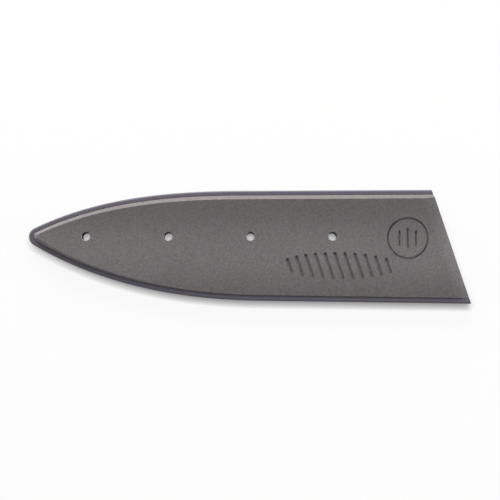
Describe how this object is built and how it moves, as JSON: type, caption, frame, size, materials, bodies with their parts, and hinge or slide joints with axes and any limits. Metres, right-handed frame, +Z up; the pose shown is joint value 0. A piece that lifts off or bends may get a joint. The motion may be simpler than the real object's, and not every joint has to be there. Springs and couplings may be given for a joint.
{
  "type": "knife blade guard",
  "caption": "Slim wedge-shaped guard that slides over a chef's knife blade: hard covers joined by a soft rim, open at a slanted mouth, with vent holes.",
  "frame": {"origin": "middle of the footprint, on the surface that the guard lies on", "axes": "+X along the guard towards the open mouth, +Y across it towards the spine side, +Z up from the back cover to the front cover"},
  "size_m": [0.2152, 0.0558, 0.0082],
  "materials": {
    "cover_plastic": "fine matte grain",
    "rim_soft": "satin soft plastic",
    "rib_soft": "satin soft plastic"
  },
  "bodies": {
    "root": {"front_cover": "cover_plastic", "back_cover": "cover_plastic", "edge_rim": "rim_soft", "front_grip_ribs": "rib_soft", "back_grip_ribs": "rib_soft"}
  },
  "joints": []
}
